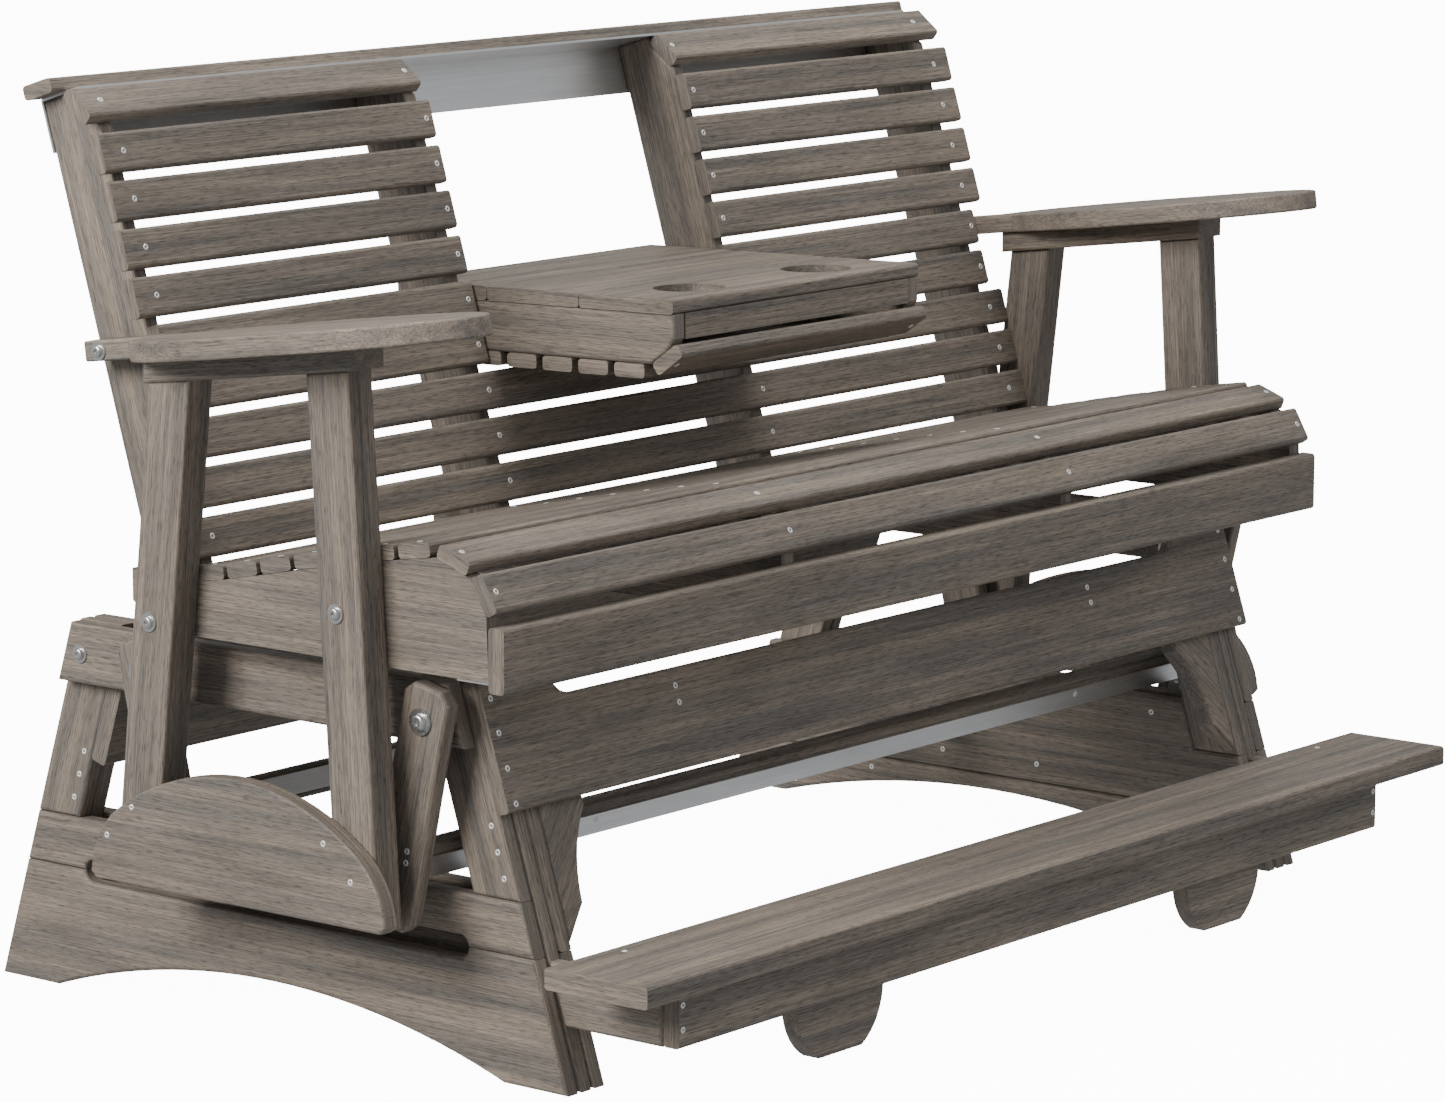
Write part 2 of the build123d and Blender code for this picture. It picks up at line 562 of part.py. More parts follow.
def post_face(top_y, lower_y):
    drop = ARM_RAIL_T * sqrt(1 + ARM_SLOPE ** 2)
    top_z = arm_under(top_y) - drop
    lean = (lower_y - top_y) / (top_z - LOWER_Z)
    half = POST_W / 2
    bottom_y = lower_y + lean * (LOWER_Z - POST_BOTTOM)
    corners = []
    for y in (top_y - half, top_y + half):
        corners.append((y, arm_under(y) - drop))
    return yz_face((bottom_y - half, POST_BOTTOM), corners[0], corners[1],
                   (bottom_y + half, POST_BOTTOM))


def armrest_outline():
    rear = UPRIGHT_OUT + TAB_W
    end = BENCH_HALF_X
    outer = Spline((rear, 200.0), (end + 80, 165.0), (end + 112, 95.0), (end + 120, -90.0),
                   (end + 108, -210.0), (end + 72, -280.0), (end + 10, -324.0),
                   (end - 45, -285.0), (end - 72, -232.0), (end - 88, -130.0),
                   (end - 73, 30.0), (UPRIGHT_OUT, 155.0))
    tab = Polyline((UPRIGHT_OUT, 155.0), (UPRIGHT_OUT, TAB_REAR), (rear, TAB_REAR), (rear, 200.0))
    outline = make_face([outer, tab])
    return fillet(outline.vertices(), 6.0)


def make_arms():
    posts = []
    for top_y, lower_y in ((FRONT_POST_TOP_Y, SWING_MID_Y - LOWER_HALF),
                           (REAR_POST_TOP_Y, SWING_MID_Y + LOWER_HALF)):
        post = yz_board(BENCH_HALF_X, POST_OUT, post_face(top_y, lower_y), 4.0)
        post = post - rod(BENCH_HALF_X - 1, POST_OUT + 1, lower_y, LOWER_Z, PIVOT_R + RUNNING)
        posts.append(post)
    keep("arm_posts", *posts, *[other_side(p) for p in posts])
    tilt = Rot(-degrees(atan(ARM_SLOPE)), 0, 0)
    slab = extrude(armrest_outline(), -ARMREST_T)
    layers = slab.faces().sort_by(Axis.Z)
    armrest = Pos(0, 0, ARM_TOP_Z) * tilt * fillet(layers[0].edges() + layers[-1].edges(), 3.0)
    keep("armrest_right", armrest)
    keep("armrest_left", other_side(armrest))
    front, rear = ARM_RAIL_FRONT, ARM_RAIL_REAR
    drop = ARM_RAIL_T * sqrt(1 + ARM_SLOPE ** 2)
    outline = yz_face((front, arm_under(front) - drop), (front, arm_under(front)),
                      (rear, arm_under(rear)), (rear, arm_under(rear) - drop))
    support = yz_board(POST_OUT + 1.0 - ARM_RAIL_W, POST_OUT + 1.0, outline)
    keep("armrest_supports", support, other_side(support))
    keep("post_panels", *make_panels())


def make_panels():
    """D-shaped boards that tie the lower ends of each side's two posts."""
    half, mid = PANEL_HALF, PANEL_MID_Y
    crown_z = PANEL_TOP - PANEL_CROWN_R
    offset = half - PANEL_CORNER_R
    reach = PANEL_CROWN_R - PANEL_CORNER_R
    corner_z = crown_z + sqrt(reach ** 2 - offset ** 2)
    turn = atan((corner_z - crown_z) / offset)
    join = (PANEL_CROWN_R * cos(turn), crown_z + PANEL_CROWN_R * sin(turn))
    bulge = (offset + PANEL_CORNER_R * cos(turn / 2), corner_z + PANEL_CORNER_R * sin(turn / 2))
    outline = [
        Line((-half + 8, PANEL_BOTTOM), (half - 8, PANEL_BOTTOM)),
        Line((half - 8, PANEL_BOTTOM), (half, corner_z + 8)),
        ThreePointArc((half, corner_z + 8), bulge, join),
        ThreePointArc(join, (0, PANEL_TOP), (-join[0], join[1])),
        ThreePointArc((-join[0], join[1]), (-bulge[0], bulge[1]), (-half, corner_z + 8)),
        Line((-half, corner_z + 8), (-half + 8, PANEL_BOTTOM)),
    ]
    panel = yz_board(POST_OUT, POST_OUT + BOARD, Pos(mid, 0) * make_face(outline), 3.0)
    return panel, other_side(panel)


# ---- console ----------------------------------------------------------------------------------
def make_console():
    half = CONSOLE_HALF
    front, rear = CONSOLE_FRONT_S, CONSOLE_REAR_S
    under = CONSOLE_DEPTH - SLAT_T
    planks = []
    for i in range(3):
        s0 = front - (i + 1) * CONSOLE_PLANK_W + 0.5
        place = sf_point(DOWN, s0 + CONSOLE_PLANK_W / 2 - 0.5, CONSOLE_DEPTH)
        planks.append(bar(-half, half, place, (-DOWN[0], -DOWN[1]), CONSOLE_PLANK_W - 1.0, SLAT_T))
    cup_y, cup_z = sf_point(DOWN, CUP_S, CONSOLE_DEPTH)
    for x in (-CUP_X, CUP_X):
        mouth = Plane(origin=(x, cup_y, cup_z), z_dir=(0, DOWN[1], -DOWN[0]))
        planks[0] = planks[0] - extrude(mouth.offset(-40) * Circle(CUP_R), 80)
    keep("console_top", *planks)
    clear_s = slat_s(CUT_SLATS) - SLAT_W / 2 - 3.0
    touch = TOP_SLAT_S - 32.8
    nose = front - 9.0
    profile = [(clear_s, SLAT_T), (touch, SLAT_T), (nose, top_slat_inner(nose) + 0.3), (front, 52.0),
               (front, under), (rear, under), (rear, 40.0), (clear_s - 4.0, 30.0)]
    side = sf_board(DOWN, half - BOARD, half, profile)
    side = side - rod(half - BOARD - 1, half + 1, HINGE_Y, HINGE_Z, HINGE_PIN_R + RUNNING)
    keep("console_sides", side, other_side(side))
    board = sf_board(DOWN, -half + BOARD, half - BOARD,
                     [(front - BOARD, 50.0), (front, 50.0), (front, under), (front - BOARD, under)], 0)
    keep("console_front", board)
    slats = [sf_slat(DOWN, -half, half, TOP_SLAT_S, TOP_SLAT_F, TOP_SLAT_TILT)]
    slats += [sf_slat(DOWN, -half, half, slat_s(n)) for n in range(2, CUT_SLATS + 1)]
    keep("console_slats", *slats)
    pin = rod(half - BOARD, GAP_HALF + BOARD, HINGE_Y, HINGE_Z, HINGE_PIN_R)
    keep("console_hinge_pins", pin, other_side(pin))


# ---- fasteners --------------------------------------------------------------------------------
def both(solids):
    return [*solids, *[other_side(s) for s in solids]]


def drill(names, x0, x1, y, z):
    """Bolt holes through the named nodes, on both sides of the bench."""
    hole = rod(x0, x1, y, z, BOLT_R + RUNNING)
    for name in names:
        PIECES[name] = [solid - hole - other_side(hole) for solid in PIECES[name]]


def make_bolts():
    rail_y, rail_z = BASE_MID_Y + base_end(UPPER_Z) - 38.0, UPPER_Z + 4.0
    keep("rail_bolts", *both([washer_bolt(RAIL_OUT, LEG_IN + 4.0, rail_y, rail_z)]))
    drill(["base_top_rail_right", "base_top_rail_left", "base_rear_outer_legs",
           "base_rear_inner_legs"], LEG_IN + 4.0, RAIL_OUT + 1.0, rail_y, rail_z)
    bolts = []
    for y, z in ((176.0, 509.0), (-125.0, 554.0)):
        bolts.append(washer_bolt(POST_OUT, UPRIGHT_OUT + 3.0, y, z))
        drill(["arm_posts", "seat_end_rails"], UPRIGHT_OUT + 3.0, POST_OUT + 1.0, y, z)
    tab_x = UPRIGHT_OUT + TAB_W
    tab_z = arm_under(TAB_BOLT_Y) + ARMREST_T / 2
    bolts.append(washer_bolt(tab_x, UPRIGHT_OUT - BOARD + 3.0, TAB_BOLT_Y, tab_z))
    drill(["back_end_uprights", "armrest_right", "armrest_left"], UPRIGHT_OUT - BOARD + 3.0,
          tab_x + 1.0, TAB_BOLT_Y, tab_z)
    keep("bench_bolts", *both(bolts))


def build():
    make_side_frames()
    make_cross_boards()
    make_gussets()
    make_footrest()
    make_linkage()
    make_pivots()
    make_seat()
    make_back()
    make_arms()
    make_console()
    make_bolts()
    os.makedirs("parts", exist_ok=True)
    to_middle = Pos(0, -MIDDLE_Y, 0)
    for name, solids in PIECES.items():
        flat = []
        for solid in solids:
            flat.extend((to_middle * solid).solids())
        shape = flat[0] if len(flat) == 1 else Compound(children=flat)
        export_step(shape, "parts/" + name + ".step")
    print(len(PIECES), "nodes")


build()
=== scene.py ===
# %% [markdown]
# # Glider swing
# A two-seat glider bench of poly lumber on a base with a footrest. The CAD boards, bolts and
# aluminium pieces keep their shapes. This scene gives them their finishes, adds the wood screws
# that hold the boards together, and sets the light and the camera.

# %% Setup
import bpy, bmesh
from math import cos, pi, radians, sin
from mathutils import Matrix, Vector


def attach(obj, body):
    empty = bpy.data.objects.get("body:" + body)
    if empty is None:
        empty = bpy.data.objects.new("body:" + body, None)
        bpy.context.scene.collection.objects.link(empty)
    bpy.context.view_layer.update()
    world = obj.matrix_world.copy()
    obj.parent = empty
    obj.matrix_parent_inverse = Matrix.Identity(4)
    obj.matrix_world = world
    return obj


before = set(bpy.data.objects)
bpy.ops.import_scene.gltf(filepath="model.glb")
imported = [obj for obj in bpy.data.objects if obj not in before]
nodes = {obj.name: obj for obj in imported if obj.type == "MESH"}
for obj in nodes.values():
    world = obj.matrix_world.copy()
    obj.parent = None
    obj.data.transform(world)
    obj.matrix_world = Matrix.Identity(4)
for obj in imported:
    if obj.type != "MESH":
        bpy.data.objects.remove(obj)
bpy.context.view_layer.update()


# %% [markdown]
# ## Small helpers for node materials
# Every finish below is made of the same few steps, so each step gets a short function. A noise
# makes the pattern, a ramp turns it into a colour or a roughness, and layers are multiplied.

# %% Node helpers
def node(tree, kind, **values):
    made = tree.nodes.new(kind)
    for key, value in values.items():
        setattr(made, key, value)
    return made


def noise(tree, vector, detail, rough, distortion=0.0):
    made = node(tree, "ShaderNodeTexNoise")
    for key, value in (("Scale", 1.0), ("Detail", detail), ("Roughness", rough),
                       ("Distortion", distortion)):
        made.inputs[key].default_value = value
    tree.links.new(vector, made.inputs["Vector"])
    return made.outputs["Fac"]


def ramp(tree, fac, *stops):
    made = node(tree, "ShaderNodeValToRGB")
    elements = made.color_ramp.elements
    elements[0].position, elements[0].color = stops[0]
    elements[1].position, elements[1].color = stops[-1]
    for place, colour in stops[1:-1]:
        elements.new(place).color = colour
    tree.links.new(fac, made.inputs["Fac"])
    return made.outputs["Color"]


def grey(value):
    return (value, value, value, 1.0)


def times(tree, amount, a, b):
    """One colour times another. Inputs 6 and 7 and output 2 are the Mix node's colours."""
    made = node(tree, "ShaderNodeMix", data_type="RGBA", blend_type="MULTIPLY")
    made.inputs[0].default_value = amount
    tree.links.new(a, made.inputs[6])
    tree.links.new(b, made.inputs[7])
    return made.outputs[2]


def bump(tree, shader, height, strength, distance):
    made = node(tree, "ShaderNodeBump")
    made.inputs["Strength"].default_value = strength
    made.inputs["Distance"].default_value = distance
    tree.links.new(height, made.inputs["Height"])
    tree.links.new(made.outputs["Normal"], shader.inputs["Normal"])


def new_material(name):
    made = bpy.data.materials.new(name)
    made.use_nodes = True
    return made, made.node_tree, made.node_tree.nodes["Principled BSDF"]


print("node helpers are ready in Blender", bpy.app.version_string)

# %% [markdown]
# ## Coordinates along the grain
# The grain has to be long along a board and short across it, whichever way the board leans.
# Three dot products turn the Object coordinates into a place along the grain, across it and
# through the board, and a Mapping node then stretches them. Object coordinates stay on the piece
# when its body moves. Turning the pieces themselves was the other way, but they stay unturned.

# %% Grain coordinates
def grain_space(tree, along):
    """Object coordinates laid out as (along the grain, across it, through the board)."""
    coords = node(tree, "ShaderNodeTexCoord").outputs["Object"]
    along = Vector(along).normalized()
    side = Vector((0, 0, 1)) if abs(along.x) > 0.9 else Vector((1, 0, 0))
    across = side.cross(along).normalized()
    joined = node(tree, "ShaderNodeCombineXYZ")
    for i, direction in enumerate((along, across, along.cross(across))):
        dot = node(tree, "ShaderNodeVectorMath", operation="DOT_PRODUCT")
        dot.inputs[1].default_value = direction
        tree.links.new(coords, dot.inputs[0])
        tree.links.new(dot.outputs["Value"], joined.inputs[i])
    return joined.outputs["Vector"]


def stretched(tree, space, along, across, shift=0.0, edge=False):
    """Grain coordinates scaled to a number of noise cells in a metre, along and across the grain.

    The shift takes another part of the noise, so that no two boards match. With edge, the lines
    are long every way in the plane of the board, and so they follow its outline.
    """
    made = node(tree, "ShaderNodeMapping", vector_type="POINT")
    made.inputs["Scale"].default_value = (along, along if edge else across, across)
    made.inputs["Location"].default_value = (shift, 0.7 * shift, 1.3 * shift)
    tree.links.new(space, made.inputs["Vector"])
    return made.outputs["Vector"]


print("grain coordinates are ready")

# %% [markdown]
# ## Poly lumber
# The boards are recycled plastic, extruded and then embossed so that they look like weathered
# timber. The colour runs in long streaks along each board, because the pigments are drawn out as
# the plastic leaves the die. So each finish has a grain direction, and four noises are stretched
# along it: broad tan and grey bands, fine lines, short dark pores and soft clouds. The fine lines
# also push the surface in and out a little, which is the embossing. A painted image was the other
# way, but one image would be drawn too large on a long board.

# %% A board finish for one grain direction
TAN = (0.258, 0.212, 0.169)
MID = (0.207, 0.174, 0.143)
DEEP = (0.150, 0.134, 0.118)
# noise cells in a metre, along the grain and across it
BANDS, LINES, PORES, CLOUDS = (1.6, 52.0), (8.0, 540.0), (62.0, 1000.0), (3.0, 11.0)
EMBOSSING = 0.0006


def lumber(name, along, tone, seed, edge=False):
    made, tree, shader = new_material(name)
    space = grain_space(tree, along)
    band = noise(tree, stretched(tree, space, *BANDS, seed, edge), 3.0, 0.6, 0.2)
    line = noise(tree, stretched(tree, space, *LINES, seed, edge), 4.0, 0.66, 0.1)
    pore = noise(tree, stretched(tree, space, *PORES, seed), 2.0, 0.5)
    mottle = noise(tree, stretched(tree, space, *CLOUDS, seed, edge), 2.0, 0.5)
    colours = [(*(tone * c for c in colour), 1.0) for colour in (DEEP, MID, TAN)]
    colour = ramp(tree, band, (0.36, colours[0]), (0.50, colours[1]), (0.64, colours[2]))
    lines = ramp(tree, line, (0.34, grey(0.66)), (0.51, grey(1.0)), (0.68, grey(1.32)))
    pores = ramp(tree, pore, (0.34, grey(0.48)), (0.46, grey(1.0)), (0.70, grey(1.16)))
    clouds = ramp(tree, mottle, (0.32, grey(0.88)), (0.68, grey(1.10)))
    for amount, layer in ((1.0, lines), (0.9, pores), (1.0, clouds)):
        colour = times(tree, amount, colour, layer)
    tree.links.new(colour, shader.inputs["Base Color"])
    rough = ramp(tree, line, (0.3, grey(0.62)), (0.7, grey(0.48)))
    tree.links.new(rough, shader.inputs["Roughness"])
    shader.inputs["Specular IOR Level"].default_value = 0.40
    bump(tree, shader, line, 0.40, EMBOSSING)
    return made


print("board colours from dark to light:", DEEP, MID, TAN)


# %% [markdown]
# ## Metal and nylon
# The aluminium is mill finish, drawn through a die, so faint lines run along it. The bolts and
# screws are stainless steel, and the bolts have a tumbled, slightly cloudy polish. The pivot
# bushes are black nylon with a fine moulded texture. These three finishes use the same stretched
# noise as the boards, because it also gives the lines of a die when it is stretched enough.

# %% Metal and nylon finishes
DRAWN, TUMBLED = (3.0, 1400.0), (260.0, 260.0)
TEXTURE_DEPTH = 0.0002


def metal(name, tint, rough, texture):
    made, tree, shader = new_material(name)
    space = grain_space(tree, (1, 0, 0))
    streak = noise(tree, stretched(tree, space, *texture), 3.0, 0.6)
    cloud = noise(tree, stretched(tree, space, 9.0, 60.0), 2.0, 0.5)
    light, dark = tuple(1.05 * c for c in tint), tuple(0.86 * c for c in tint)
    colour = ramp(tree, streak, (0.3, (*dark, 1.0)), (0.7, (*light, 1.0)))
    colour = times(tree, 1.0, colour, ramp(tree, cloud, (0.3, grey(0.92)), (0.7, grey(1.0))))
    tree.links.new(colour, shader.inputs["Base Color"])
    tree.links.new(ramp(tree, streak, (0.3, grey(rough + 0.10)), (0.7, grey(rough - 0.06))),
                   shader.inputs["Roughness"])
    shader.inputs["Metallic"].default_value = 1.0
    bump(tree, shader, streak, 0.15, TEXTURE_DEPTH)
    return made


def nylon(name):
    made, tree, shader = new_material(name)
    space = grain_space(tree, (1, 0, 0))
    grit = noise(tree, stretched(tree, space, 900.0, 900.0), 2.0, 0.6)
    cloud = noise(tree, stretched(tree, space, 70.0, 70.0), 2.0, 0.5)
    colour = ramp(tree, cloud, (0.3, grey(0.022)), (0.7, grey(0.036)))
    tree.links.new(colour, shader.inputs["Base Color"])
    tree.links.new(ramp(tree, grit, (0.3, grey(0.55)), (0.7, grey(0.42))),
                   shader.inputs["Roughness"])
    bump(tree, shader, grit, 0.25, TEXTURE_DEPTH)
    return made


STEEL = metal("stainless_steel", (0.70, 0.70, 0.69), 0.30, TUMBLED)
ALUMINIUM = metal("mill_aluminium", (0.95, 0.955, 0.96), 0.34, DRAWN)
NYLON = nylon("black_nylon")
print("metal and nylon finishes:", STEEL.name, ALUMINIUM.name, NYLON.name)

# %% [markdown]
# ## Which way the grain runs
# A board is cut with its grain along its length. So the slats, the cross boards and the
# footrest's plank run along X, the boards of the side frames and the seat's rails run along Y,
# and the armrests, the legs, the hanging arms, the posts and the uprights lean in the Y-Z plane.
# The directions stand in a table, because many nodes share one direction.

# %% Grain table
RECLINE = radians(16.87)
ALONG_X, ALONG_Y, BACK = (1, 0, 0), (0, 1, 0), (0, sin(RECLINE), cos(RECLINE))
# lean along Y in a metre of height, and fall of the armrests in a metre towards the back
LEG_LEAN, ARM_LEAN, ARMREST_FALL = 0.32, 0.227, 0.13
FRONT_LEG, REAR_LEG = (0, LEG_LEAN, 1), (0, -LEG_LEAN, 1)
GRAIN = {
    ALONG_Y: ["base_arch_board_left", "base_arch_board_right", "base_side_board_left",
              "base_side_board_right", "base_inner_arch_boards", "base_inner_side_boards",
              "base_top_rail_left", "base_top_rail_right", "footrest_arms", "seat_end_rails",
              "seat_mid_rails", "post_panels", "console_sides"],
    (0, 1, -ARMREST_FALL): ["armrest_left", "armrest_right", "armrest_supports"],
    FRONT_LEG: ["base_front_outer_legs", "base_front_inner_legs", "base_front_corner_legs"],
    REAR_LEG: ["base_rear_outer_legs", "base_rear_inner_legs"],
    (0, -ARM_LEAN, 1): ["front_swing_arm_left", "front_swing_arm_right"],
    (0, ARM_LEAN, 1): ["rear_swing_arm_left", "rear_swing_arm_right"],
    BACK: ["back_end_uprights", "back_mid_uprights"],
}
direction_of = {name: way for way, names in GRAIN.items() for name in names}
# nodes whose boards run two ways, which get both their finishes in the next step
TWO_WAYS = ("arm_posts", "base_gussets")


def finish_for(name, number):
    if name.endswith(("strip", "angle")):
        return ALUMINIUM
    if name.endswith(("bolts", "pins")):
        return STEEL
    if name.endswith(("bushes", "spacers")):
        return NYLON
    # four tones, so that neighbours differ a little
    tone = 0.96 + 0.027 * ((number * 7) % 4)
    return lumber("lumber_" + name, direction_of.get(name, ALONG_X), tone, 3.7 * number)


for number, (name, piece) in enumerate(sorted(nodes.items())):
    if name not in TWO_WAYS:
        piece.data.materials.clear()
        piece.data.materials.append(finish_for(name, number))
print(len(direction_of), "nodes have their own grain direction, the other boards run along X")


# %% [markdown]
# ## Boards that need two grains
# The front and the rear post of each side share one CAD node but converge towards the armrest,
# and the left and the right gusset mirror each other, with the grain along their slanting noses.
# The sawn ends of the boards that run along X show lines across the board, where the layers of
# the plastic were cut through. The narrow edges of the boards cut to an outline show long lines
# that follow the outline. So each of these gets a second finish, chosen face by face. The
# armrests keep one finish, because their broad tops face up and not to the side.

# %% Two grains in one node
def second_grain(name, first, second, chosen):
    """Two finishes on one node, the second one on the chosen faces."""
    mesh = nodes[name].data
    mesh.materials.clear()
    for made in (first, second):
        mesh.materials.append(made)
    for polygon in mesh.polygons:
        polygon.material_index = 1 if chosen(polygon) else 0


FRONT_POST, REAR_POST, BETWEEN_POSTS_Y = (0, 0.06, 1), (0, -0.114, 1), 0.02
second_grain("arm_posts", lumber("lumber_front_posts", FRONT_POST, 1.0, 5.0),
             lumber("lumber_rear_posts", REAR_POST, 0.97, 9.0),
             lambda p: p.center.y > BETWEEN_POSTS_Y)
LEFT_NOSE, RIGHT_NOSE = (-0.7, -0.22, -0.7), (0.7, -0.22, -0.7)
second_grain("base_gussets", lumber("lumber_left_gusset", LEFT_NOSE, 1.02, 4.0),
             lumber("lumber_right_gusset", RIGHT_NOSE, 1.02, 8.0), lambda p: p.center.x > 0)

# X part of a normal: above SAWN a face is a sawn end, below NARROW the edge of a side board
SAWN, NARROW = 0.8, 0.6
# the way across each board that runs along X, which the lines of its sawn ends follow; the
# front slat and the nose slat are tilted
ENDS = {
    ALONG_Y: ["seat_slats", "console_top", "footrest_plank", "console_slats", "back_cap"],
    (0, 0.936, 0.352): ["seat_front_slat"],
    (0, 0.495, 0.869): ["seat_nose_slat"],
    BACK: ["back_slats_left", "back_slats_right", "back_slats_lower"],
    (0, 0, 1): ["seat_apron", "footrest_apron", "console_front"],
    FRONT_LEG: ["base_front_board"],
    REAR_LEG: ["base_rear_board"],
}
for width, names in ENDS.items():
    for i, name in enumerate(names):
        long_grain = nodes[name].data.materials[0]
        second_grain(name, long_grain, lumber("sawn_end_" + name, width, 0.94, 11.0 + i),
                     lambda p: abs(p.normal.x) > SAWN)
edged = 0
for i, (name, way) in enumerate(sorted(direction_of.items())):
    if not name.startswith("armrest"):
        broad = nodes[name].data.materials[0]
        second_grain(name, broad, lumber("edge_" + name, way, 1.06, 17.0 + i, edge=True),
                     lambda p: abs(p.normal.x) < NARROW)
        edged += 1
print("sawn ends on", sum(len(names) for names in ENDS.values()), "nodes, edges on", edged)

# %% [markdown]
# ## Wood screws
# The boards are held by small stainless screws with a flat rim and a square recess. One head is
# turned from a profile with the spin operator: a flat rim with a sloping edge around a sunk
# middle. The recess is only 3 mm wide, so it is left round, which keeps a head under a hundred
# faces. A cylinder with a bevel was the other way, but the turned profile gives the bright rim
# and the sunk recess at once. The recess's faces are painted near-black, which is painted shade
# in the hole.

# %% One screw head
HEAD_R = 0.0041
RIM, _, rim = new_material("screw_rim")
for key, value in (("Base Color", (0.86, 0.86, 0.85, 1.0)), ("Metallic", 0.35),
                   ("Roughness", 0.32)):
    rim.inputs[key].default_value = value
# the recess gets a near-black finish, which is painted shade in the hole of the steel head
PAINTED_SHADE_RECESS, _, recess_shade_shader = new_material("screw_recess_painted_shade")
recess_shade_shader.inputs["Base Color"].default_value = grey(0.02)
recess_shade_shader.inputs["Roughness"].default_value = 0.7
RECESS = 0.37


def screw_head():
    """The turned head. The profile is radius and height, both in head radii."""
    profile = [(0.0, -0.10), (0.36, -0.10), (0.42, 0.14), (0.82, 0.14), (1.0, 0.0),
               (1.0, -0.15), (0.0, -0.15)]
    bm = bmesh.new()
    ring = [bm.verts.new((r * HEAD_R, 0, h * HEAD_R)) for r, h in profile]
    edges = [bm.edges.new(pair) for pair in zip(ring, ring[1:])]
    bmesh.ops.spin(bm, geom=ring + edges, cent=(0, 0, 0), axis=(0, 0, 1), angle=2 * pi,
                   steps=12, use_merge=True)
    bmesh.ops.remove_doubles(bm, verts=bm.verts[:], dist=1e-7)
    bmesh.ops.recalc_face_normals(bm, faces=bm.faces[:])
    for face in bm.faces:
        face.smooth = True
        from_middle = face.calc_center_median().xy.length
        # the faces of the sunk middle get the near-black recess finish, painted shade in the hole
        face.material_index = 1 if from_middle < RECESS * HEAD_R else 0
    mesh = bpy.data.meshes.new("screw_head")
    bm.to_mesh(mesh)
    bm.free()
    return mesh


HEAD = screw_head()
print("one screw head has", len(HEAD.polygons), "faces")

# %% [markdown]
# ## Places on the frames' boards
# The screws of the frames sit in rows on the boards. A ray towards the board finds its surface
# and the way it faces. A list of full places would do as well, but it would go wrong when a
# board is made thicker.

# %% Places found by a ray
# rays start outside the bench, or between its two sides
OUTSIDE, WITHIN, IN_FRONT, ABOVE = 1.2, 0.1, -1, 1
# Y places below are measured from a line 3.5 mm ahead of the frame's origin
SHIFT = -0.0035


def spot(name, start, direction):
    """Where a ray meets the named CAD board, and the way its face looks."""
    found, place, normal, _ = nodes[name].ray_cast(Vector(start), Vector(direction))
    if not found:
        raise RuntimeError("no board under a screw: " + name + str(start))
    return place, normal


def from_side(name, sign, y, z):
    """A place on the outside of a board, on the left (-1) or on the right (1) of the bench."""
    return spot(name, (sign * OUTSIDE, y + SHIFT, z), (-sign, 0, 0))


def from_within(name, sign, y, z):
    """A place on the inside of a board, on the left (-1) or on the right (1) of the bench."""
    return spot(name, (sign * WITHIN, y + SHIFT, z), (sign, 0, 0))


def from_front(name, x, z):
    """A place on the front of a board."""
    return spot(name, (x, IN_FRONT, z), (0, 1, 0))


print("rays start", OUTSIDE, "m out to the sides and", -IN_FRONT, "m ahead")

# %% [markdown]
# ## Places on the slats
# A screw through a slat sits in the middle of the slat's width, and a rail or an upright crosses
# behind it. The CAD mesh is loose triangles, so a copy is merged first, and each slat is then one
# island of joined faces. The broad face that looks the right way gives the middle.

# %% Middles of the slats
AHEAD, OVER, UNDER = Vector((0, -1, 0.3)).normalized(), Vector((0, 0, 1)), Vector((0, 0, -1))
# how well a normal agrees with a way it looks roughly, and with a way it looks exactly
ROUGHLY, EXACTLY = 0.5, 0.9999


def board_faces(name, facing):
    """Middle (y, z) and normal of the broad face of each separate board in a node."""
    bm = bmesh.new()
    bm.from_mesh(nodes[name].data)
    bmesh.ops.remove_doubles(bm, verts=bm.verts[:], dist=1e-6)
    left, faces = set(bm.faces), []
    while left:
        todo, board = [left.pop()], []
        while todo:
            face = todo.pop()
            board.append(face)
            near = {f for edge in face.edges for f in edge.link_faces} & left
            left -= near
            todo.extend(near)
        looking = [f for f in board if f.normal.dot(facing) > ROUGHLY]
        broad = max(looking, key=lambda f: f.calc_area())
        points = [v.co for f in looking if f.normal.dot(broad.normal) > EXACTLY for v in f.verts]
        middle = [(min(p[i] for p in points) + max(p[i] for p in points)) / 2 for i in (1, 2)]
        faces.append((middle, broad.normal.copy()))
    bm.free()
    return faces


def on_slats(name, facing, places):
    """A screw in the middle of every slat of a node, at each of the given X places."""
    return [(Vector((x, *middle)), normal) for middle, normal in board_faces(name, facing)
            for x in places]


print(len(board_faces("seat_slats", OVER)), "flat slats found on the seat")

# %% [markdown]
# ## Setting the heads
# All the heads on one body become one piece, because they move together and hundreds of tiny
# pieces would be hard to handle. Each head is turned square to its board and moved to its place.

# %% One piece of screws for a body
def set_screws(name, body, spots):
    """One piece with a head at every place, square to the board, that moves with its body."""
    bm = bmesh.new()
    for place, normal in spots:
        first = len(bm.verts)
        bm.from_mesh(HEAD)
        bm.verts.ensure_lookup_table()
        turn = normal.to_track_quat("Z", "Y").to_matrix().to_4x4()
        turn.translation = place
        bmesh.ops.transform(bm, matrix=turn, verts=bm.verts[first:])
    mesh = bpy.data.meshes.new(name)
    bm.to_mesh(mesh)
    bm.free()
    mesh.materials.append(RIM)
    # the second finish is the recess's painted shade
    mesh.materials.append(PAINTED_SHADE_RECESS)
    made = bpy.data.objects.new(name, mesh)
    bpy.context.scene.collection.objects.link(made)
    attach(made, body)
    print(name, len(spots), "screws on", body)


# %% [markdown]
# ## Screws of the bench
# Each back slat is screwed to the uprights behind it and each seat slat to the rails under it.
# The console's slats are screwed to its two side boards, and the D-shaped panels to the posts.
# The slats' screws stand on the middles of the boards behind them, so each row is one X place.

